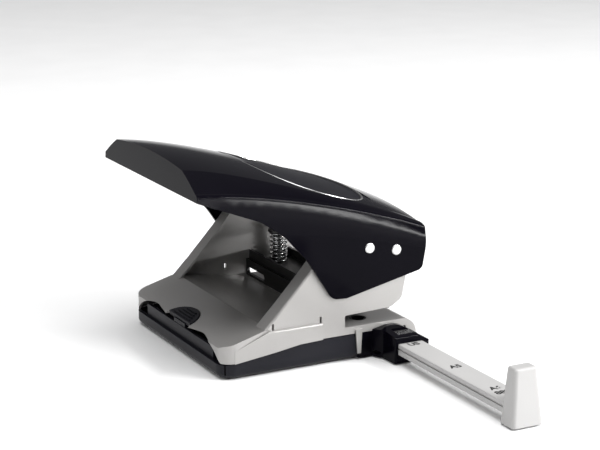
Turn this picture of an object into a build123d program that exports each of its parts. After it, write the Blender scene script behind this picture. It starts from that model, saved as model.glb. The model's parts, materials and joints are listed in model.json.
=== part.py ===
"""Two-hole desk punch: a pressed steel base and side plates, a black lever
handle, two sprung punch pins, a hinged chip tray and a sliding paper guide.

Units are millimetres. +Z is up. The origin is on the table, midway between
the two punches. Paper goes in from -Y, the handle is pressed at +Y, and the
paper guide slides out towards -X.
"""
import os

from math import atan2, cos, hypot, radians, sin

from build123d import *

os.makedirs("parts", exist_ok=True)

# Punching pattern
hole_spacing = 80.0
hole_diameter = 5.5
edge_distance = 12.6
punch_x = hole_spacing / 2

# Base and sheet metal
sheet = 1.4
plate_outer = 50.5
plate_inner = plate_outer - sheet
floor_z = 16.3
ridge_y, ridge_z = 51.5, 21.5
lip_y, lip_z = 72.5, 15.6
rear_y = 73.8
front_y = -25.2
roll_radius = 7.7
bottom_z = 0.8
seam_z = 12.8
skirt_top = 20.6
skirt_front = 24.5
skirt_bulge = 1.3
tab_sheet = 0.8
gap = 0.3

# Pivot, punch axle and stroke
pivot_y, pivot_z = -12.5, 50.5
axle_y, axle_z = 1.5, 53.0
axle_diameter = 5.0
press_angle = radians(28)
axle_reach = hypot(axle_y - pivot_y, axle_z - pivot_z)
axle_tilt = atan2(axle_z - pivot_z, axle_y - pivot_y)
punch_stroke = axle_reach * (sin(axle_tilt) - sin(axle_tilt - press_angle))
running_clearance = 0.06

# Punches and springs
guide_z, guide_thickness = 22.0, 1.5
guide_top = guide_z + guide_thickness
punch_tip_z = guide_z + 0.3
collar_z, collar_thickness = 39.0, 1.0
die_diameter = 8.0
spring_diameter, spring_wire, spring_turns = 9.0, 1.0, 5

# Handle: crease height, shoulder width and shoulder height at each station
handle_stations = [
    (-28.8, 59.2, 7.0, 1.1),
    (0.0, 69.0, 7.0, 2.6),
    (30.0, 77.1, 7.0, 4.1),
    (58.0, 82.9, 11.0, 6.4),
    (86.0, 86.4, 15.0, 8.2),
]
top_crown = 0.0017
crease_roll = 1.6
roof_thickness = 5.8
handle_half = 52.0
handle_bulge = 0.9
handle_inner = 50.9
handle_wall = 2.2

# Chip tray
tray_half = 50.3
tray_front = 5.6
tray_rear = 74.0
neck_half = 45.0
neck_front = -5.0
hinge_y, hinge_z = -2.9, 2.8
hinge_pin = 2.0
tray_wall = 1.8

# Paper guide
ruler_y = -13.0
ruler_width = 12.8
ruler_top, ruler_bottom = 9.9, 4.7
stop_x = -148.5
ruler_length = 118.0
housing_x = -66.0


def side_plane(x):
    """A plane facing +X at x, whose own axes are Y and Z."""
    return Plane.YZ.offset(x)


def cross_plane(y):
    """A plane across the punch at y, whose own axes are X and Z."""
    return Plane.XZ.offset(-y)


def finish(solid, label):
    """Label a piece and write its STEP file."""
    solid.label = label
    export_step(solid, f"parts/{label}.step")


def floor_height(y):
    """Height of the floor or rear lip at y."""
    if y <= ridge_y:
        return floor_z + (ridge_z - floor_z) * max(0, y - 16) / (ridge_y - 16)
    return ridge_z + (lip_z - ridge_z) * (y - ridge_y) / (lip_y - ridge_y)


# ---------------------------------------------------------------- side plates
slot_low = axle_z - punch_stroke
slot_margin = 0.6
flange_depth = 8.5
rear_top_y, rear_top_z = 22.0, 54.8
bend_radius = 1.0
with BuildPart() as side_plate:
    with BuildSketch(side_plane(-plate_outer)):
        with BuildLine():
            throat = FilletPolyline(
                (50, seam_z),
                (edge_distance, seam_z),
                (edge_distance, guide_z),
                (-11.3, 22.8),
                (-17.2, 26.4),
                (-20.6, 44),
                (-20, 55),
                (-12, 57.5),
                (6, 58.6),
                (rear_top_y, rear_top_z),
                radius=[0.1, 0.6, 6, 5, 8, 5, 8, 8],
            )
            ThreePointArc(throat @ 1, (38.8, 36.0), (53.5, floor_height(53.5)))
            Polyline((53.5, floor_height(53.5)), (50, floor_height(50)), throat @ 0)
        make_face()
    extrude(amount=sheet)
    with BuildSketch(side_plane(-plate_outer)):
        with BuildLine():
            edge = ThreePointArc(throat @ 1, (38.8, 36.0), (53.5, floor_height(53.5)))
            inner = ThreePointArc(
                (53.5 - 0.95 * sheet, floor_height(53.5)),
                (38.8 - 0.77 * sheet, 36.0 - 0.64 * sheet),
                (rear_top_y - 0.6 * sheet, rear_top_z - 0.8 * sheet),
            )
            Line(edge @ 1, inner @ 0)
            Line(inner @ 1, edge @ 0)
        make_face()
    extrude(amount=flange_depth)
    with BuildSketch(side_plane(-plate_outer)):
        with Locations((pivot_y, pivot_z)):
            Circle(axle_diameter / 2)
        with Locations((axle_y - 0.08, (axle_z + slot_low) / 2)):
            SlotCenterToCenter(punch_stroke, axle_diameter + 2 * slot_margin, rotation=90)
        with Locations((49.2, skirt_top + 1.4), (skirt_front + 0.6, skirt_top + 1.2)):
            Rectangle(1.0, 3.0)
    extrude(amount=sheet, mode=Mode.SUBTRACT)
    bend = side_plate.edges().filter_by(GeomType.CIRCLE).filter_by(
        lambda e: e.length > 40 and abs(e.center().X + plate_outer) < 0.01
    )
    fillet(bend, bend_radius)
left_side_plate = side_plate.part
right_side_plate = mirror(side_plate.part, about=Plane.YZ)
finish(left_side_plate, "left_side_plate")
finish(right_side_plate, "right_side_plate")

# ----------------------------------------------------------------- base shell
with BuildPart() as skirt:
    with BuildSketch(Plane.XY.offset(bottom_z)):
        Polygon(
            (-plate_outer, skirt_front),
            (-plate_outer - skirt_bulge, skirt_front),
            (-plate_outer - skirt_bulge, 48),
            (-plate_outer, 68),
            align=None,
        )
    extrude(amount=skirt_top - bottom_z)
    with BuildSketch(side_plane(-plate_outer - skirt_bulge)):
        Polygon(
            (skirt_front, seam_z),
            (skirt_front, skirt_top),
            (51, skirt_top),
            (68, 13.5),
            (68, 7.6),
            (36, 12.4),
            align=None,
        )
    extrude(amount=skirt_bulge, mode=Mode.INTERSECT)
    ledge = skirt.edges().filter_by(Axis.Y).sort_by(Axis.Z)[-2:].sort_by(Axis.X)[0]
    fillet(ledge, 0.9)

with BuildPart() as base_shell:
    with BuildSketch(side_plane(-plate_outer)):
        with BuildLine():
            roll = RadiusArc(
                (front_y, floor_z - roll_radius), (front_y + roll_radius, floor_z), roll_radius
            )
            if roll.length > 2 * roll_radius:
                raise ValueError("front roll took the long way round")
            Polyline(
                (front_y + roll_radius, floor_z),
                (16, floor_z),
                (ridge_y, ridge_z),
                (lip_y, lip_z),
                (rear_y, lip_z - 1),
                (rear_y, bottom_z),
                (front_y, bottom_z),
                (front_y, floor_z - roll_radius),
            )
        make_face()
    extrude(amount=2 * plate_outer)
    corners = base_shell.edges().filter_by(Axis.Z).group_by(Axis.Y)[-1]
    fillet(corners, 7)
    underside = base_shell.faces().sort_by(Axis.Z)[0]
    offset(amount=-sheet, openings=underside)
    with BuildSketch(side_plane(-plate_outer)):
        Polygon(
            (front_y - 5, 6),
            (-21.5, 6),
            (-19.5, seam_z),
            (30, seam_z),
            (36, 12.4),
            (66, 7.9),
            (rear_y + 5, 7.4),
            (rear_y + 5, bottom_z - 1),
            (front_y - 5, bottom_z - 1),
            align=None,
        )
    extrude(amount=2 * plate_outer, mode=Mode.SUBTRACT)
    with BuildSketch(cross_plane(66)):
        with BuildLine():
            arch = Polyline((46.5, 0), (46.5, 7.4))
            Spline((46.5, 7.4), (39.5, 12.9), (0, 13.9), (-39.5, 12.9), (-46.5, 7.4))
            Polyline((-46.5, 7.4), (-46.5, 0), (46.5, 0))
        make_face()
    extrude(amount=-12, mode=Mode.SUBTRACT)
    with BuildSketch(Plane.XY.offset(floor_z - 8)):
        with Locations((0, rear_y)):
            Ellipse(12.5, 11.2)
    extrude(amount=20, mode=Mode.SUBTRACT)
    with BuildSketch(Plane.XY.offset(floor_z - 8)):
        with Locations((-punch_x, 0), (punch_x, 0)):
            Circle(die_diameter / 2)
    extrude(amount=20, mode=Mode.SUBTRACT)
    for outer, thickness in ((-plate_outer, -tab_sheet), (plate_outer, tab_sheet)):
        with BuildSketch(side_plane(outer)):
            Polygon((3.9, seam_z + 2), (7.3, seam_z + 2), (6.3, 3.2), (4.5, 3.2), align=None)
        extrude(amount=thickness)
    add(skirt.part)
    add(mirror(skirt.part, about=Plane.YZ))
    for outer, thickness, depth in (
        (-plate_outer, sheet, flange_depth),
        (plate_outer, -sheet, -flange_depth),
    ):
        with BuildSketch(side_plane(outer)):
            Polygon(
                (edge_distance, seam_z),
                (edge_distance, guide_z),
                (53.5, guide_z),
                (53.5, floor_height(53.5)),
                (50, floor_height(50)),
                (50, seam_z),
                align=None,
            )
        extrude(amount=thickness, mode=Mode.SUBTRACT)
        with BuildSketch(side_plane(outer)):
            with Locations((52.3, floor_height(53.5) + 0.5)):
                Rectangle(2.4, 1.0)
        extrude(amount=depth, mode=Mode.SUBTRACT)
finish(base_shell.part, "base_shell")

# ----------------------------------------------------------- guide plate, dies
with BuildPart() as guide_plate:
    with BuildSketch(side_plane(-plate_inner)):
        Polygon(
            (-11.5, guide_z),
            (11.8, guide_z),
            (11.8, 29),
            (11.8 - guide_thickness, 29),
            (11.8 - guide_thickness, guide_top),
            (guide_thickness - 11.5, guide_top),
            (guide_thickness - 11.5, 27.5),
            (-11.5, 27.5),
            align=None,
        )
    extrude(amount=2 * plate_inner)
    with Locations((-punch_x, 0, guide_top), (punch_x, 0, guide_top)):
        Hole(hole_diameter / 2 + running_clearance, depth=2 * guide_thickness)
    rear_bend = guide_plate.edges().filter_by(Axis.X).group_by(Axis.Y)[-1].sort_by(Axis.Z)[0]
    fillet(rear_bend, 1.2)
finish(guide_plate.part, "guide_plate")

wall_y, wall_thickness = 13.5, 1.5
wall_top = 24.5
sight_x, sight_z, sight_length, sight_height = 38.5, 19.1, 19.0, 3.2
with BuildPart() as throat_wall:
    with BuildSketch(cross_plane(wall_y)):
        with Locations((0, (floor_z + wall_top) / 2)):
            Rectangle(2 * plate_inner, wall_top - floor_z)
        with Locations((-sight_x, sight_z), (sight_x, sight_z)):
            SlotOverall(sight_length, sight_height, mode=Mode.SUBTRACT)
    extrude(amount=wall_thickness)
finish(throat_wall.part, "throat_wall")

with BuildPart() as die_bushes:
    with BuildSketch(Plane.XY.offset(floor_z - 4)):
        with Locations((-punch_x, 0), (punch_x, 0)):
            Circle(die_diameter / 2)
            Circle(hole_diameter / 2 + running_clearance, mode=Mode.SUBTRACT)
    extrude(amount=4)
    rims = die_bushes.edges().filter_by(GeomType.CIRCLE).group_by(Axis.Z)[-1]
    chamfer(rims.filter_by(lambda e: e.radius < 3), 0.5)
finish(die_bushes.part, "die_bushes")

# ----------------------------------------------------------- punches, springs
head_z = 45.0
for name, x in (("left_punch", -punch_x), ("right_punch", punch_x)):
    with BuildPart() as punch:
        with BuildSketch(Plane.XY.offset(punch_tip_z)):
            with Locations((x, 0)):
                Circle(hole_diameter / 2)
        extrude(amount=head_z - punch_tip_z + 1)
        with BuildSketch(Plane.XY.offset(head_z)):
            with Locations((x, 1.4)):
                RectangleRounded(8, 11, 2.4)
        extrude(amount=13)
        with BuildSketch(side_plane(x - 5)):
            with Locations((axle_y - 0.08, axle_z)):
                SlotOverall(axle_diameter + 0.9, axle_diameter + 2 * running_clearance)
        extrude(amount=10, mode=Mode.SUBTRACT)
        with BuildSketch(Plane.XY.offset(collar_z)):
            with Locations((x, 0)):
                Circle(hole_diameter / 2)
                Circle(hole_diameter / 2 - 0.5, mode=Mode.SUBTRACT)
        extrude(amount=collar_thickness, mode=Mode.SUBTRACT)
        with BuildSketch(side_plane(x - 5)):
            Polygon(
                (-3.2, punch_tip_z - 0.1), (3.2, punch_tip_z - 0.1), (0, punch_tip_z + 1.3), align=None
            )
        extrude(amount=10, mode=Mode.SUBTRACT)
    finish(punch.part, name)

with BuildPart() as spring_collars:
    with BuildSketch(Plane.XY.offset(collar_z)):
        with Locations((-punch_x, 0), (punch_x, 0)):
            Circle(5.2)
            Circle(hole_diameter / 2 - 0.5, mode=Mode.SUBTRACT)
    extrude(amount=collar_thickness)
finish(spring_collars.part, "spring_collars")

coil_radius = (spring_diameter - spring_wire) / 2
spring_rise = collar_z - guide_top - spring_wire - 0.1
for name, x in (("left_spring", -punch_x), ("right_spring", punch_x)):
    with BuildPart() as spring:
        with BuildLine():
            coil = Helix(
                pitch=spring_rise / spring_turns,
                height=spring_rise,
                radius=coil_radius,
                center=(x, 0, guide_top + spring_wire / 2 + 0.05),
            )
        with BuildSketch(Plane(origin=coil @ 0, z_dir=coil % 0)):
            Circle(spring_wire / 2)
        sweep(is_frenet=True)
    finish(spring.part, name)

# --------------------------------------------------------------------- axles
axle_half = 53.6
head_height = 0.5
lever_outer = 47.7


def make_axle(y, z, name):
    """A rod across the punch with a low domed head at each end."""
    with BuildPart() as axle:
        with BuildSketch(side_plane(-axle_half)):
            with Locations((y, z)):
                Circle(axle_diameter / 2)
        extrude(amount=2 * axle_half)
        ends = axle.faces().filter_by(Axis.X)
        fillet(ends.edges(), head_height)
    finish(axle.part, name)


make_axle(pivot_y, pivot_z, "pivot_axle")
make_axle(axle_y, axle_z, "punch_axle")

clip_thickness = 0.7
for name, y, z, x in (
    ("pivot_clips", pivot_y, pivot_z, plate_inner - 0.05 - clip_thickness),
    ("punch_axle_clips", axle_y, axle_z, 46.1 - clip_thickness),
):
    with BuildPart() as clips:
        for start in (x, -x - clip_thickness):
            with BuildSketch(side_plane(start)):
                with Locations((y, z)):
                    Circle(4.2)
                    Circle(axle_diameter / 2, mode=Mode.SUBTRACT)
                    Rectangle(2.6, 10, align=(Align.CENTER, Align.MAX), mode=Mode.SUBTRACT)
            extrude(amount=clip_thickness)
    finish(clips.part, name)

# -------------------------------------------------------------------- handle


def handle_section(station, inset, roof_drop):
    """Draw the handle's cross-section, drawn in by inset, in the open sketch."""
    y, crease, width, rise = station
    half = handle_half if inset == 0 else handle_inner
    bulge = handle_bulge if inset == 0 else 0.2
    shoulder_x = handle_half - width - inset * 0.6
    crease_z = crease - inset * 0.5
    top_z = crease + rise - roof_drop
    top_mid = top_z + top_crown * shoulder_x**2
    side_top = crease_z - crease_roll
    roll_x, roll_z = half - crease_roll, crease_z + 0.25 * crease_roll
    roll_mid = (half - 0.26 * crease_roll, crease_z - 0.15 * crease_roll)
    ease_x, ease_z = (roll_x + shoulder_x) / 2 + 0.1, (roll_z + top_z) / 2 + 0.3
    belly_x, belly_z = half + 1.4 * bulge, crease_z - 0.26 * (crease_z - 20)
    waist = ((half - bulge + belly_x) / 2 + 0.3 * bulge, (belly_z + 20) / 2)
    lean = ((half + belly_x) / 2 + 0.28 * bulge, (belly_z + side_top) / 2)
    with BuildLine() as section:
        right = ThreePointArc((half - bulge, 20), waist, (belly_x, belly_z))
        ThreePointArc((belly_x, belly_z), lean, (half, side_top))
        ThreePointArc((half, side_top), roll_mid, (roll_x, roll_z))
        ThreePointArc((roll_x, roll_z), (ease_x, ease_z), (shoulder_x, top_z))
        ThreePointArc((shoulder_x, top_z), (0, top_mid), (-shoulder_x, top_z))
        ThreePointArc((-shoulder_x, top_z), (-ease_x, ease_z), (-roll_x, roll_z))
        ThreePointArc((-roll_x, roll_z), (-roll_mid[0], roll_mid[1]), (-half, side_top))
        ThreePointArc((-half, side_top), (-lean[0], lean[1]), (-belly_x, belly_z))
        ThreePointArc((-belly_x, belly_z), (-waist[0], waist[1]), (bulge - half, 20))
        Line((bulge - half, 20), right @ 0)
    make_face(section.edges())


recess_y, recess_z, recess_slope = 15.0, 77.85, 0.322
recess_half, recess_reach = 44.6, 27.6
floor_crown = 0.0012
recess_plane = Plane(
    origin=(0, recess_y, recess_z - 6), x_dir=(1, 0, 0), z_dir=(0, -recess_slope, 1)
)
profile_plane = Plane(
    origin=(0, recess_y - 60, recess_z - 60 * recess_slope),
    x_dir=(-1, 0, 0),
    z_dir=(0, 1, recess_slope),
)


def recess_outline(margin):
    """Draw the oval of the recess in the handle's top, drawn in by margin."""
    with BuildLine() as oval:
        half, reach = recess_half - margin, recess_reach - margin
        corner_x, corner_y = 0.76 * half, 0.73 * reach
        Spline(
            (0, -reach), (corner_x, -corner_y), (half, 0), (corner_x, corner_y), (0, reach),
            tangents=[(1, 0), (-1, 0)],
        )
        Spline(
            (0, reach), (-corner_x, corner_y), (-half, 0), (-corner_x, -corner_y), (0, -reach),
            tangents=[(-1, 0), (1, 0)],
        )
    make_face(oval.edges())


def crowned_band(low, high):
    """Draw the band between two heights over the crowned recess floor."""
    reach = 60.0
    sink = floor_crown * reach**2
    with BuildLine() as band:
        under = ThreePointArc((-reach, low - sink), (0, low), (reach, low - sink))
        Line(under @ 1, (reach, high - sink))
        over = ThreePointArc((reach, high - sink), (0, high), (-reach, high - sink))
        Line(over @ 1, under @ 0)
    make_face(band.edges())


web_rise = 0.26
web_start, web_end = 12.0, 54.0
web_z = 68.3
web_half = 24.0
web_plane = Plane(origin=(0, web_start, web_z), x_dir=(1, 0, 0), z_dir=(0, -web_rise, 1))
screw_spots = [(x, y) for x in (-16, 16) for y in (10, 36)]
arm_sheet = 1.5
with BuildPart() as handle_lever:
    for start in (-lever_outer, lever_outer - arm_sheet):
        with BuildSketch(side_plane(start)):
            Polygon(
                (-18, 46.5), (-18, 55.5), (12, web_z), (14, 60), (8, 47.5), (-4, 45), align=None
            )
            with Locations((pivot_y, pivot_z)):
                Circle(axle_diameter / 2 + running_clearance, mode=Mode.SUBTRACT)
            with Locations((axle_y, axle_z)):
                Circle(axle_diameter / 2, mode=Mode.SUBTRACT)
        extrude(amount=arm_sheet)
    with BuildSketch(side_plane(-lever_outer)):
        Polygon(
            (-9, 59.35), (web_start, web_z), (web_start, web_z - sheet), (-9, 59.35 - sheet), align=None
        )
    extrude(amount=2 * lever_outer)
    with BuildSketch(web_plane):
        with Locations((0, (web_end - web_start) / 2)):
            RectangleRounded(2 * web_half, web_end - web_start + 4, 4)
    extrude(amount=-sheet)
    with BuildSketch(web_plane):
        with Locations(*screw_spots):
            Circle(1.25)
    extrude(amount=-sheet, mode=Mode.SUBTRACT)
finish(handle_lever.part, "handle_lever")

screw_length, screw_head = 5.0, 1.6
with BuildPart() as handle_screws:
    with BuildSketch(web_plane.offset(-sheet - screw_head)):
        with Locations(*screw_spots):
            Circle(2.6)
    extrude(amount=screw_head)
    head_edges = handle_screws.edges().filter_by(GeomType.CIRCLE)
    rims = [e for e in head_edges if web_plane.to_local_coords(e.center()).Z < -sheet - screw_head / 2]
    fillet(rims, 0.9)
    with BuildSketch(web_plane.offset(-sheet)):
        with Locations(*screw_spots):
            Circle(1.25)
    extrude(amount=screw_length)
    with BuildSketch(web_plane.offset(-sheet - screw_head)):
        with Locations(*screw_spots):
            Rectangle(2.6, 0.6)
            Rectangle(0.6, 2.6)
    extrude(amount=0.9, mode=Mode.SUBTRACT)
finish(handle_screws.part, "handle_screws")

with BuildPart() as handle_cavity:
    for index, station in enumerate(handle_stations):
        y = station[0] + (handle_wall if index == 0 else 0) - (2.5 if index == 4 else 0)
        with BuildSketch(cross_plane(y)):
            handle_section(station, handle_wall, roof_thickness)
    loft()

with BuildPart() as handle_recess:
    with BuildSketch(recess_plane):
        recess_outline(0)
    extrude(amount=30)
    with BuildSketch(profile_plane):
        crowned_band(0, 30)
    extrude(amount=120, mode=Mode.INTERSECT)

with BuildPart() as handle_shell:
    for station in handle_stations:
        with BuildSketch(cross_plane(station[0])):
            handle_section(station, 0, 0)
    loft()
    add(handle_cavity.part, mode=Mode.SUBTRACT)
    with BuildSketch(web_plane):
        with Locations(*screw_spots):
            Circle(3)
    extrude(amount=7)
    with BuildSketch(side_plane(-60)):
        with BuildLine():
            under = FilletPolyline(
                (-40, 70),
                (-28.4, 66),
                (-28.4, 52),
                (-26.6, 39.6),
                (12.5, 30.6),
                (19.8, 31.0),
                (33, 51),
                (44, 63.2),
                (56, 71.4),
                (90, 84.6),
                radius=[0.5, 20, 3.2, 4.5, 5, 30, 20, 18],
            )
            Polyline(under @ 1, (90, 110), (-40, 110), under @ 0)
        make_face()
    extrude(amount=120, mode=Mode.INTERSECT)
    add(handle_recess.part, mode=Mode.SUBTRACT)
    with BuildSketch(side_plane(-60)):
        with Locations((pivot_y, pivot_z), (axle_y, axle_z)):
            Circle(axle_diameter / 2 + running_clearance)
    extrude(amount=120, mode=Mode.SUBTRACT)
    with BuildSketch(web_plane):
        with Locations(*screw_spots):
            Circle(1.25)
    extrude(amount=screw_length - sheet, mode=Mode.SUBTRACT)
finish(handle_shell.part, "handle_shell")

inlay_thickness = 0.8
with BuildPart() as handle_inlay:
    with BuildSketch(recess_plane):
        recess_outline(0.3)
    extrude(amount=20)
    with BuildSketch(profile_plane):
        crowned_band(0, inlay_thickness)
    extrude(amount=120, mode=Mode.INTERSECT)
finish(handle_inlay.part, "handle_inlay")

# ------------------------------------------------------------ sliding guide
ruler_end = stop_x - 3.5
ruler_start = stop_x + ruler_length
detent_x = -44.0
format_travels = (0.0, 8.8, 43.5, 74.5, 80.0)
with BuildPart() as ruler:
    with BuildSketch(side_plane(ruler_end)):
        with Locations((ruler_y, (ruler_top + ruler_bottom) / 2)):
            RectangleRounded(ruler_width, ruler_top - ruler_bottom, 0.5)
        for side in (-1, 1):
            with Locations((ruler_y + side * ruler_width / 2, 7.7)):
                Rectangle(1.2, 0.9, mode=Mode.SUBTRACT)
    extrude(amount=ruler_start - ruler_end)
    for travel in format_travels:
        with BuildSketch(Plane.XZ.offset(-ruler_y - 3)):
            with Locations((detent_x - travel, ruler_bottom)):
                Circle(0.9)
        extrude(amount=6, mode=Mode.SUBTRACT)
finish(ruler.part, "ruler")

stop_foot, stop_top = 0.9, 25.5
with BuildPart() as paper_stop:
    with BuildSketch(Plane.XY.offset(stop_foot)):
        with Locations((stop_x - 5.1, ruler_y)):
            RectangleRounded(10.2, 15.2, 1.8)
    with BuildSketch(Plane.XY.offset(stop_top)):
        with Locations((stop_x - 4.3, ruler_y)):
            RectangleRounded(6.6, 11.0, 1.8)
    loft()
    fillet(paper_stop.faces().sort_by(Axis.Z)[-1].edges(), 1.2)
    add(ruler.part, mode=Mode.SUBTRACT)
finish(paper_stop.part, "paper_stop")

# --------------------------------------------------- front base and housing
channel_gap = 0.25
channel_low, channel_high = ruler_bottom - 0.2, ruler_top + 0.2
foot_spots = [(-40, -21.5), (40, -21.5)]
foot_radius, foot_height, foot_recess = 3.2, 1.2, 0.4
window_x, window_length, window_width = -59.8, 6.6, 10.0
with BuildPart() as housing:
    with BuildSketch(Plane.XY.offset(bottom_z)):
        Polygon(
            (-50, -1.5),
            (-56, -4.4),
            (housing_x, -4.9),
            (housing_x, -22.6),
            (-63, -24.2),
            (-50, -25.0),
            align=None,
        )
    extrude(amount=16)
    with BuildSketch(side_plane(housing_x)):
        with BuildLine():
            FilletPolyline(
                (0, bottom_z),
                (0, 13.2),
                (-9, 15.0),
                (-15, 14.6),
                (-25.2, 8.5),
                (-25.2, bottom_z),
                radius=[3.5, 8, 8, 4],
            )
            Line((-25.2, bottom_z), (0, bottom_z))
        make_face()
    extrude(amount=20, mode=Mode.INTERSECT)
    with BuildSketch(cross_plane(-30)):
        Polygon(
            (-50, 15.1), (housing_x - 1, 13.0), (housing_x - 1, 17), (-50, 17), align=None
        )
    extrude(amount=-40, mode=Mode.SUBTRACT)
    end_edges = housing.faces().sort_by(Axis.X)[0].edges()
    fillet([e for e in end_edges if e.center().Z > 2], 0.8)

with BuildPart() as front_base:
    with BuildSketch(side_plane(-plate_outer + 0.2)):
        Polygon(
            (front_y, bottom_z),
            (front_y, 5.7),
            (-23.3, 5.7),
            (-23.3, 9),
            (-20.5, 12.5),
            (5.2, 12.5),
            (5.2, bottom_z),
            align=None,
        )
    extrude(amount=2 * plate_outer - 0.4)
    add(housing.part)
    with BuildSketch(Plane.XY.offset(bottom_z - 1)):
        with Locations((0, neck_front - gap)):
            Rectangle(2 * (neck_half + gap), 20, align=(Align.CENTER, Align.MIN))
    extrude(amount=20, mode=Mode.SUBTRACT)
    with BuildSketch(side_plane(housing_x - 1)):
        with Locations((ruler_y, (channel_low + channel_high) / 2)):
            Rectangle(ruler_width + 2 * channel_gap, channel_high - channel_low)
    extrude(amount=130, mode=Mode.SUBTRACT)
    with BuildSketch(Plane.XY.offset(channel_high)):
        with Locations((window_x, ruler_y)):
            Rectangle(window_length, window_width)
    extrude(amount=8, mode=Mode.SUBTRACT)
    with BuildSketch(Plane.XY.offset(bottom_z)):
        with Locations(*foot_spots):
            Circle(foot_radius)
    extrude(amount=foot_recess, mode=Mode.SUBTRACT)
    with BuildSketch(side_plane(-55)):
        with Locations((hinge_y, hinge_z)):
            Circle(hinge_pin / 2)
    extrude(amount=110, mode=Mode.SUBTRACT)
    with BuildSketch(Plane.XY.offset(channel_low)):
        with Locations((detent_x, ruler_y)):
            Rectangle(16, 6)
    extrude(amount=-1.6, mode=Mode.SUBTRACT)
    add(base_shell.part, mode=Mode.SUBTRACT)
finish(front_base.part, "front_base")

lens_z, lens_thickness = 12.0, 1.0
with BuildPart() as window_lens:
    with BuildSketch(Plane.XY.offset(lens_z)):
        with Locations((window_x, ruler_y)):
            Rectangle(window_length, window_width)
    extrude(amount=lens_thickness)
finish(window_lens.part, "window_lens")

with BuildPart() as guide_detent_spring:
    with BuildSketch(Plane.XZ.offset(-ruler_y - 2.5)):
        with BuildLine():
            low = channel_low - 1.6
            Polyline(
                (detent_x - 7.8, low),
                (detent_x - 7.8, low + 0.4),
                (detent_x - 1.5, ruler_bottom - 0.45),
                (detent_x, ruler_bottom - 0.1),
                (detent_x + 1.5, ruler_bottom - 0.45),
                (detent_x + 7.8, low + 0.4),
                (detent_x + 7.8, low),
                (detent_x, ruler_bottom - 0.55),
                (detent_x - 7.8, low),
            )
        make_face()
    extrude(amount=5)
finish(guide_detent_spring.part, "guide_detent_spring")

with BuildPart() as front_feet:
    with BuildSketch():
        with Locations(*foot_spots):
            Circle(foot_radius)
    extrude(amount=foot_height)
    fillet(front_feet.edges().group_by(Axis.Z)[0], 0.3)
finish(front_feet.part, "front_feet")

# ----------------------------------------------------------------- chip tray
tray_floor = bottom_z + 1.6
rear_foot_spots = [(-38, 62), (38, 62)]
strip_y, strip_width = 1.7, 5.0
with BuildPart() as chip_tray:
    with BuildSketch(side_plane(-tray_half)):
        Polygon(
            (tray_front, bottom_z),
            (tray_front, seam_z - 0.4),
            (30, seam_z - 0.4),
            (36, 12.0),
            (66, 7.5),
            (tray_rear, 7.0),
            (tray_rear, bottom_z),
            align=None,
        )
    extrude(amount=2 * tray_half)
    fillet(chip_tray.edges().filter_by(Axis.Z).group_by(Axis.Y)[-1], 7)
    fillet(chip_tray.faces().sort_by(Axis.Z)[0].edges().group_by(Axis.Y)[-1], 2.5)
    with BuildSketch(side_plane(-neck_half)):
        with BuildLine():
            RadiusArc((hinge_y, bottom_z), (hinge_y - 2, hinge_z), 2)
            Polyline(
                (hinge_y - 2, hinge_z),
                (hinge_y - 2, 11.4),
                (tray_front, 11.4),
                (tray_front, bottom_z),
                (hinge_y, bottom_z),
            )
        make_face()
    extrude(amount=2 * neck_half)
    with BuildSketch(Plane.XY.offset(tray_floor)):
        with Locations((0, neck_front + tray_wall + 0.2)):
            Rectangle(
                2 * (neck_half - tray_wall), 20, align=(Align.CENTER, Align.MIN)
            )
        with Locations((0, tray_front + tray_wall)):
            Rectangle(
                2 * (tray_half - tray_wall),
                tray_rear - tray_front - 2 * tray_wall - 0.1,
                align=(Align.CENTER, Align.MIN),
            )
    extrude(amount=20, mode=Mode.SUBTRACT)
    with BuildSketch(Plane.XY.offset(bottom_z + 0.5)):
        with Locations((0, 71.6)):
            Rectangle(74, 1.6)
    extrude(amount=11.2)
    with BuildSketch(side_plane(-60)):
        with Locations((hinge_y, hinge_z)):
            Circle(hinge_pin / 2 + running_clearance)
    extrude(amount=120, mode=Mode.SUBTRACT)
    with BuildSketch(Plane.XY.offset(bottom_z)):
        with Locations(*rear_foot_spots):
            Circle(foot_radius + 1)
        with Locations((0, strip_y)):
            RectangleRounded(30, strip_width, 2)
    extrude(amount=foot_recess, mode=Mode.SUBTRACT)
finish(chip_tray.part, "chip_tray")

with BuildPart() as tray_hinge_pins:
    for start in (-plate_outer + 0.4, neck_half - tray_wall):
        with BuildSketch(side_plane(start)):
            with Locations((hinge_y, hinge_z)):
                Circle(hinge_pin / 2)
        extrude(amount=plate_outer - 0.4 - neck_half + tray_wall)
finish(tray_hinge_pins.part, "tray_hinge_pins")

with BuildPart() as tray_feet:
    with BuildSketch():
        with Locations(*rear_foot_spots):
            Circle(foot_radius + 1)
        with Locations((0, strip_y)):
            RectangleRounded(30, strip_width, 2)
    extrude(amount=foot_height)
    fillet(tray_feet.edges().group_by(Axis.Z)[0], 0.3)
finish(tray_feet.part, "tray_feet")

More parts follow.
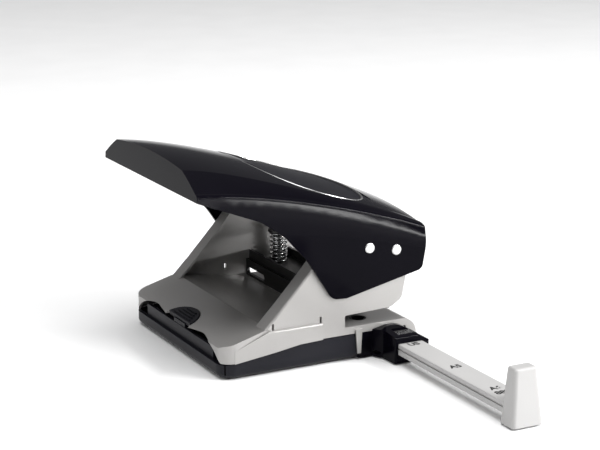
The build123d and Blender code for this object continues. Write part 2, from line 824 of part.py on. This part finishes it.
grip_gap = 0.9
rib_pitch, rib_count = 1.7, 4
grip_plane = Plane(
    origin=(0, 72.2, floor_height(72.2) + 0.6),
    x_dir=(1, 0, 0),
    z_dir=(0, (ridge_z - lip_z) / (lip_y - ridge_y), 1),
)
with BuildPart() as tray_grip:
    with BuildSketch(grip_plane):
        Ellipse(12.5 - grip_gap, 11.2 - grip_gap - 1.2)
        with Locations((0, 0)):
            Rectangle(40, 30, align=(Align.CENTER, Align.MAX) if grip_plane.y_dir.Y < 0 else (
                Align.CENTER, Align.MIN), mode=Mode.SUBTRACT)
    extrude(amount=-2.2)
    with BuildSketch(grip_plane):
        for rib in range(rib_count):
            toward_ridge = -(1.6 + rib_pitch * rib) * (1 if grip_plane.y_dir.Y > 0 else -1)
            with Locations((0, toward_ridge)):
                SlotOverall(18 - 2.6 * rib, 0.8)
    extrude(amount=0.5)
    with BuildSketch(Plane.XY.offset(12.5)):
        with Locations((0, 71.6)):
            Rectangle(12, 1.2)
    extrude(amount=2.0)
finish(tray_grip.part, "tray_grip")

print(f"punch stroke {punch_stroke:.4f} mm, {punch_stroke / press_angle:.4f} mm per radian")
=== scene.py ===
"""The looks of a two-hole desk punch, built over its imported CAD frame."""

import json
from math import cos, pi, sin

import bmesh
import bpy
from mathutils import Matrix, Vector


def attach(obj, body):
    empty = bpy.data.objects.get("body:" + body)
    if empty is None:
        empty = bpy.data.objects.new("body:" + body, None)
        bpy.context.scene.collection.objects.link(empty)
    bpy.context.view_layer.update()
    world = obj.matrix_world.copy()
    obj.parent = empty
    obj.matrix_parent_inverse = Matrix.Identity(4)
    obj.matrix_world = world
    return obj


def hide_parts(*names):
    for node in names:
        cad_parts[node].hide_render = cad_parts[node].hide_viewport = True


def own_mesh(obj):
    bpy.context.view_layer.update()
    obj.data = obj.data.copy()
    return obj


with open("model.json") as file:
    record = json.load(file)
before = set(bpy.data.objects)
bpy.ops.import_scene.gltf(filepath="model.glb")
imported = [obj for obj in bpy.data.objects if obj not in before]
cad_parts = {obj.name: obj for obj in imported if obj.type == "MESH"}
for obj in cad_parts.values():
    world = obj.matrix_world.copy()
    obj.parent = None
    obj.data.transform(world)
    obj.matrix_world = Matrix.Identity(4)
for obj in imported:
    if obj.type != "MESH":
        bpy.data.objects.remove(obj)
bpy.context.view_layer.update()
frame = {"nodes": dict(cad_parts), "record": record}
nodes = frame["nodes"]
scene = bpy.context.scene
scene.view_settings.view_transform = "Standard"
MM = 0.001


# ------------------------------------------------------------------ materials
def finish_of(name, dark, light, rough=(0.3, 0.4), metallic=0.0, coat=0.0, coat_rough=0.05,
              grain=900.0, bump=0.02, blotch=25.0, specular=0.5):
    """A finish whose colour and roughness vary over a coarse noise, with a fine one as its relief."""
    material = bpy.data.materials.new(name)
    material.use_nodes = True
    tree = material.node_tree
    shader = tree.nodes["Principled BSDF"]
    shader.inputs["Metallic"].default_value = metallic
    shader.inputs["Coat Weight"].default_value = coat
    shader.inputs["Coat Roughness"].default_value = coat_rough
    shader.inputs["Specular IOR Level"].default_value = specular
    where = tree.nodes.new("ShaderNodeTexCoord")
    coarse = tree.nodes.new("ShaderNodeTexNoise")
    coarse.inputs["Scale"].default_value = blotch
    coarse.inputs["Detail"].default_value = 5.0
    ramp = tree.nodes.new("ShaderNodeValToRGB")
    ramp.color_ramp.elements[0].position = 0.3
    ramp.color_ramp.elements[0].color = (*dark, 1)
    ramp.color_ramp.elements[1].position = 0.7
    ramp.color_ramp.elements[1].color = (*light, 1)
    spread = tree.nodes.new("ShaderNodeMapRange")
    spread.inputs["To Min"].default_value = rough[0]
    spread.inputs["To Max"].default_value = rough[1]
    fine = tree.nodes.new("ShaderNodeTexNoise")
    fine.inputs["Scale"].default_value = grain
    fine.inputs["Detail"].default_value = 3.0
    relief = tree.nodes.new("ShaderNodeBump")
    relief.inputs["Strength"].default_value = bump
    relief.inputs["Distance"].default_value = 0.0002
    link = tree.links.new
    link(where.outputs["Object"], coarse.inputs["Vector"])
    link(where.outputs["Object"], fine.inputs["Vector"])
    link(coarse.outputs["Fac"], ramp.inputs["Fac"])
    link(coarse.outputs["Fac"], spread.inputs["Value"])
    link(ramp.outputs["Color"], shader.inputs["Base Color"])
    link(spread.outputs["Result"], shader.inputs["Roughness"])
    link(fine.outputs["Fac"], relief.inputs["Height"])
    link(relief.outputs["Normal"], shader.inputs["Normal"])
    return material


def grey(value, warm=0.0):
    """A linear grey, a little warm or cool."""
    return (value * (1 + warm), value, value * (1 - warm))


silver = finish_of("silver_paint", grey(0.315, 0.025), grey(0.345, 0.025), (0.30, 0.38),
                   metallic=0.45, coat=0.1, coat_rough=0.15, bump=0.05, grain=1500)
gloss_black = finish_of("gloss_black", (0.0016, 0.0014, 0.003), (0.0024, 0.002, 0.004),
                        (0.09, 0.13), bump=0.002, specular=0.045)
satin_black = finish_of("satin_black", (0.006, 0.006, 0.009), (0.009, 0.009, 0.013),
                        (0.3, 0.4), bump=0.12, grain=1400, specular=0.16)
inlay_grey = finish_of("grey_inlay", (0.006, 0.006, 0.008), (0.011, 0.011, 0.014),
                       (0.4, 0.5), bump=0.05, specular=0.08)
bright_steel = finish_of("bright_steel", grey(0.50), grey(0.58), (0.22, 0.32),
                         metallic=1.0, bump=0.03)
tool_steel = finish_of("tool_steel", grey(0.42), grey(0.52), (0.18, 0.28),
                       metallic=1.0, bump=0.03)
dark_steel = finish_of("dark_steel", grey(0.035), grey(0.06), (0.3, 0.42),
                       metallic=0.8, bump=0.06)
spring_steel = finish_of("spring_steel", grey(0.45), grey(0.6), (0.16, 0.26),
                         metallic=1.0, bump=0.03)
ruler_grey = finish_of("light_grey_plastic", grey(0.36, 0.012), grey(0.39, 0.012),
                       (0.42, 0.52), bump=0.08, grain=1300)
rubber = finish_of("black_rubber", grey(0.012), grey(0.02), (0.7, 0.8), bump=0.2)
ink = finish_of("printed_ink", grey(0.008), grey(0.014), (0.5, 0.6), bump=0.02)
clear = finish_of("clear_plastic", grey(0.9), grey(0.95), (0.04, 0.08), bump=0.004)
clear.node_tree.nodes["Principled BSDF"].inputs["Transmission Weight"].default_value = 0.95

by_slot = {
    "silver_paint": silver,
    "gloss_black": gloss_black,
    "satin_black": satin_black,
    "grey_inlay": inlay_grey,
    "bright_steel": bright_steel,
    "tool_steel": tool_steel,
    "dark_steel": dark_steel,
    "spring_steel": spring_steel,
    "light_grey_plastic": ruler_grey,
    "clear_plastic": clear,
    "black_rubber": rubber,
}
for part in frame["record"]["subparts"]:
    node = nodes[part["node"]]
    node.data.materials.clear()
    node.data.materials.append(by_slot[part["material_slot"]])


# ---------------------------------------------------------------------- tubes
def tube(name, path, radius, sides, material, closed=False):
    """A round tube along a path of points: with flat ends, or closed into a loop."""
    mesh = bmesh.new()
    count = len(path)
    rings = []
    for i, point in enumerate(path):
        following = path[(i + 1) % count] if closed else path[min(i + 1, count - 1)]
        previous = path[i - 1] if closed else path[max(i - 1, 0)]
        ahead = (following - previous).normalized()
        across = ahead.cross(Vector((0, 0, 1))).normalized()
        over = across.cross(ahead)
        angles = [2 * pi * k / sides for k in range(sides)]
        rings.append([mesh.verts.new(point + radius * (cos(a) * across + sin(a) * over)) for a in angles])
    next_rings = rings[1:] + rings[:1] if closed else rings[1:]
    for a, b in zip(rings, next_rings):
        for k in range(sides):
            mesh.faces.new((a[k], a[(k + 1) % sides], b[(k + 1) % sides], b[k]))
    if not closed:
        mesh.faces.new(rings[0][::-1])
        mesh.faces.new(rings[-1])
    bmesh.ops.recalc_face_normals(mesh, faces=mesh.faces)
    data = bpy.data.meshes.new(name)
    mesh.to_mesh(data)
    mesh.free()
    for face in data.polygons:
        face.use_smooth = True
    piece = bpy.data.objects.new(name, data)
    data.materials.append(material)
    scene.collection.objects.link(piece)
    return piece


# -------------------------------------------------------------------- springs
punch_x = 40.0 * MM
coil_radius = 4.0 * MM
wire_radius = 0.5 * MM
wire_sides = 10
coil_turns = 7.5
steps_per_turn = 32
spring_seat = 23.5 * MM
spring_top = 39.0 * MM
top_gap = 0.1 * MM
closed_turns = 0.75
closed_pitch = 1.1 * MM


def coil_height(turn):
    """Height of the wire's middle: nearly closed at both ends, and an even pitch between."""
    low = spring_seat + wire_radius
    high = spring_top - wire_radius - top_gap
    lift = min(max((turn - closed_turns) / (coil_turns - 2 * closed_turns), 0), 1)
    ends = closed_pitch * (min(turn, closed_turns) + max(turn - coil_turns + closed_turns, 0))
    return low + (high - low - 2 * closed_turns * closed_pitch) * lift + ends


for side, name in ((-1, "left"), (1, "right")):
    path = []
    for i in range(int(coil_turns * steps_per_turn) + 1):
        angle = 2 * pi * i / steps_per_turn
        x = side * punch_x + coil_radius * cos(angle)
        path.append(Vector((x, coil_radius * sin(angle), coil_height(i / steps_per_turn))))
    spring = tube(f"{name}_coil", path, wire_radius, wire_sides, spring_steel)
    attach(spring, "frame")
    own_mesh(spring)
    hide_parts(f"{name}_spring")


# ------------------------------------------------------ lines round the recess
# The handle's top and its recess, in millimetres, close to the shapes that the CAD handle has:
# a top that arches across and bends slightly along, and a rounded oval over a sloping, crowned floor.
ridge_height, ridge_slope, ridge_bend = 75.0, 0.357, 0.0012
top_crown = 0.0017
recess_middle_y = 15.0
recess_reach_x, recess_reach_y = 44.6, 27.6
oval_power = 2.35
floor_height, floor_slope, floor_crown = 77.85, 0.322, 0.0012
loop_points = 240
line_sides = 8
rim_radius = 0.42 * MM
rim_sink = 0.12 * MM
floor_line_radius = 0.22 * MM
floor_line_inset = 0.5
floor_line_lift = 0.8


def top_height(x, y):
    """Height of the handle's crowned top."""
    return ridge_height + ridge_slope * y - ridge_bend * y * y - top_crown * x * x


def floor_level(x, y):
    """Height of the line at the recess's floor."""
    return floor_height + floor_slope * (y - recess_middle_y) - floor_crown * x * x + floor_line_lift


def on_recess(share, margin):
    """A point of the recess's oval outline, moved in by a margin."""
    angle = 2 * pi * share
    power = 2 / oval_power
    x = (recess_reach_x - margin) * abs(cos(angle)) ** power * (1 if cos(angle) > 0 else -1)
    y = (recess_reach_y - margin) * abs(sin(angle)) ** power * (1 if sin(angle) > 0 else -1)
    return x, y + recess_middle_y


def recess_line(name, margin, height, sink, radius, material):
    """A thin line that follows the recess's outline."""
    path = []
    for i in range(loop_points):
        x, y = on_recess(i / loop_points, margin)
        path.append(Vector((x * MM, y * MM, height(x, y) * MM - sink)))
    return tube(name, path, radius, line_sides, material, closed=True)


# Painted highlight: a thin bright steel tube along the recess's rim stands in for the light caught by the
# handle's rounded gloss-black edge there.
rim_highlight_bead = recess_line("recess_rim_highlight", 0, top_height, rim_sink, rim_radius, bright_steel)
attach(rim_highlight_bead, "handle")
inner_trim = recess_line(
    "recess_floor_trim", floor_line_inset, floor_level, 0, floor_line_radius, dark_steel
)
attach(inner_trim, "handle")


# --------------------------------------------------------- marks on the guide
mark_height = 3.4 * MM
capital_share = 0.7
ink_thickness = 0.02 * MM
stroke_widening = 0.05
guide_middle_y = -13.0 * MM
guide_top = 9.9 * MM + ink_thickness
# The stop's distance from the middle for each format, in millimetres. The window reads A4 with the
# guide fully out, and the other marks lie beyond it.
stop_distances = {"A4": 148.5, "US": 139.7, "A5": 105.0, "A6": 74.0, "888": 68.5}
window_x = -59.8
guide_fully_out = 148.5


def mark(words, x):
    """A format mark printed on the guide's top, read from the punch's left."""
    curve = bpy.data.curves.new("mark_" + words, "FONT")
    curve.body = words
    curve.size = mark_height / capital_share
    curve.align_x = "CENTER"
    curve.align_y = "CENTER"
    curve.extrude = ink_thickness
    curve.offset = mark_height * stroke_widening
    lettering = bpy.data.objects.new("lettering_" + words, curve)
    scene.collection.objects.link(lettering)
    bpy.context.view_layer.update()
    data = bpy.data.meshes.new_from_object(lettering)
    bpy.data.objects.remove(lettering)
    piece = bpy.data.objects.new("mark_" + words, data)
    data.materials.clear()
    data.materials.append(ink)
    piece.rotation_euler = (0, 0, -pi / 2)
    piece.location = (x, guide_middle_y, guide_top)
    scene.collection.objects.link(piece)
    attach(piece, "paper_guide")


for words, distance in stop_distances.items():
    mark(words, (window_x - guide_fully_out + distance) * MM)

# ------------------------------------------------------------- floor and light
floor_white = finish_of("floor_white", grey(0.86), grey(0.88), (0.55, 0.65), bump=0.0, specular=0.2)
bpy.ops.mesh.primitive_plane_add(size=12, location=(0, 0, 0))
floor = bpy.context.object
floor.name = "studio_floor"
floor.data.materials.append(floor_white)



def studio_sky():
    """A world that is dark at the horizon and light overhead, so that gloss shows its shape."""
    world = bpy.data.worlds.new("studio")
    world.use_nodes = True
    tree = world.node_tree
    where = tree.nodes.new("ShaderNodeTexCoord")
    split = tree.nodes.new("ShaderNodeSeparateXYZ")
    height = tree.nodes.new("ShaderNodeMapRange")
    height.inputs["From Min"].default_value = -0.1
    height.inputs["From Max"].default_value = 1.0
    shade = tree.nodes.new("ShaderNodeValToRGB")
    shade.color_ramp.elements[0].color = (0.10, 0.10, 0.105, 1)
    shade.color_ramp.elements[1].color = (0.85, 0.85, 0.85, 1)
    shade.color_ramp.elements.new(0.45).color = (0.16, 0.16, 0.165, 1)
    shade.color_ramp.elements.new(0.75).color = (0.45, 0.45, 0.45, 1)
    background = tree.nodes["Background"]
    background.inputs["Strength"].default_value = 1.0
    link = tree.links.new
    link(where.outputs["Generated"], split.inputs["Vector"])
    link(split.outputs["Z"], height.inputs["Value"])
    link(height.outputs["Result"], shade.inputs["Fac"])
    link(shade.outputs["Color"], background.inputs["Color"])
    scene.world = world


def softbox(name, place, aim, size, power):
    """An area light facing its aim."""
    light = bpy.data.lights.new(name, "AREA")
    light.shape = "RECTANGLE"
    light.size, light.size_y = size
    light.energy = power
    lamp = bpy.data.objects.new(name, light)
    lamp.location = place
    lamp.rotation_euler = (Vector(aim) - Vector(place)).to_track_quat("-Z", "Y").to_euler()
    scene.collection.objects.link(lamp)


studio_sky()
softbox("top", (-0.2, 0.1, 1.5), (0, 0.02, 0.05), (1.2, 1.2), 20)
softbox("crease", (-0.85, -0.92, 0.68), (0, 0, 0.07), (0.8, 0.05), 24)
softbox("low_side", (-1.55, -0.92, 0.12), (0, 0, 0.07), (0.5, 0.05), 7)
softbox("fill", (-0.9, 1.3, 0.9), (0, 0, 0.05), (0.6, 0.6), 5)

# --------------------------------------------------------------------- camera
camera_place = Vector((-0.70967, 0.38423, 0.26182))
camera_aim = Vector((0.01477, 0.00114, 0.04805))
camera = bpy.data.objects.new("camera", bpy.data.cameras.new("camera"))
camera.data.lens = 105
camera.data.sensor_width = 36
camera.location = camera_place
camera.rotation_euler = (camera_aim - camera_place).to_track_quat("-Z", "Y").to_euler()
scene.collection.objects.link(camera)
scene.camera = camera
